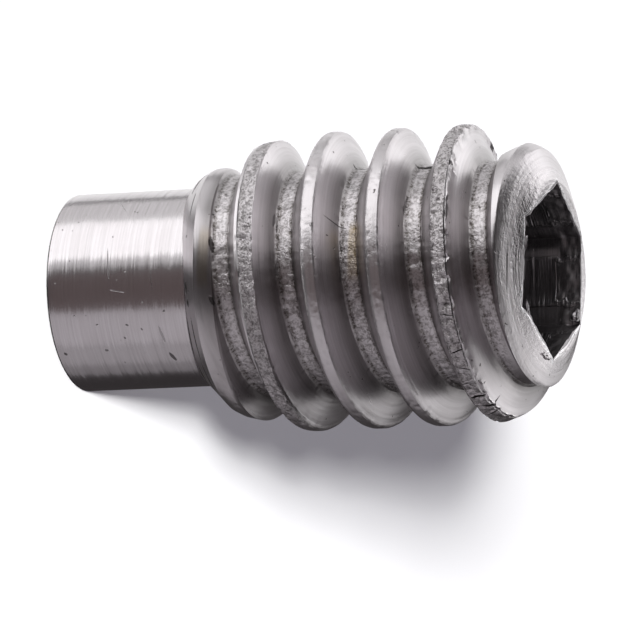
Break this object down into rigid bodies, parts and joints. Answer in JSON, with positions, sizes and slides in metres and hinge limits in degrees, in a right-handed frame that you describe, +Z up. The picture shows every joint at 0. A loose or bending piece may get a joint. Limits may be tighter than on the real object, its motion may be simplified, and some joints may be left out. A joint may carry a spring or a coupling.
{
  "type": "grub set screw",
  "caption": "Headless set screw with coarse right-hand thread, full dog point and a torn-rimmed hexagon socket in the other end.",
  "frame": {"origin": "centre of the flat tip of the dog point, on which the screw stands", "axes": "+Z up the screw's axis, from the dog point to the socket; +X where the hexagon's first corner is 6.7 degrees away"},
  "size_m": [0.0046, 0.0046, 0.0079],
  "materials": {
    "steel": "bare machined steel with turning marks, pits and torn thread crests"
  },
  "bodies": {
    "root": {"grub_screw": "steel"}
  },
  "joints": []
}
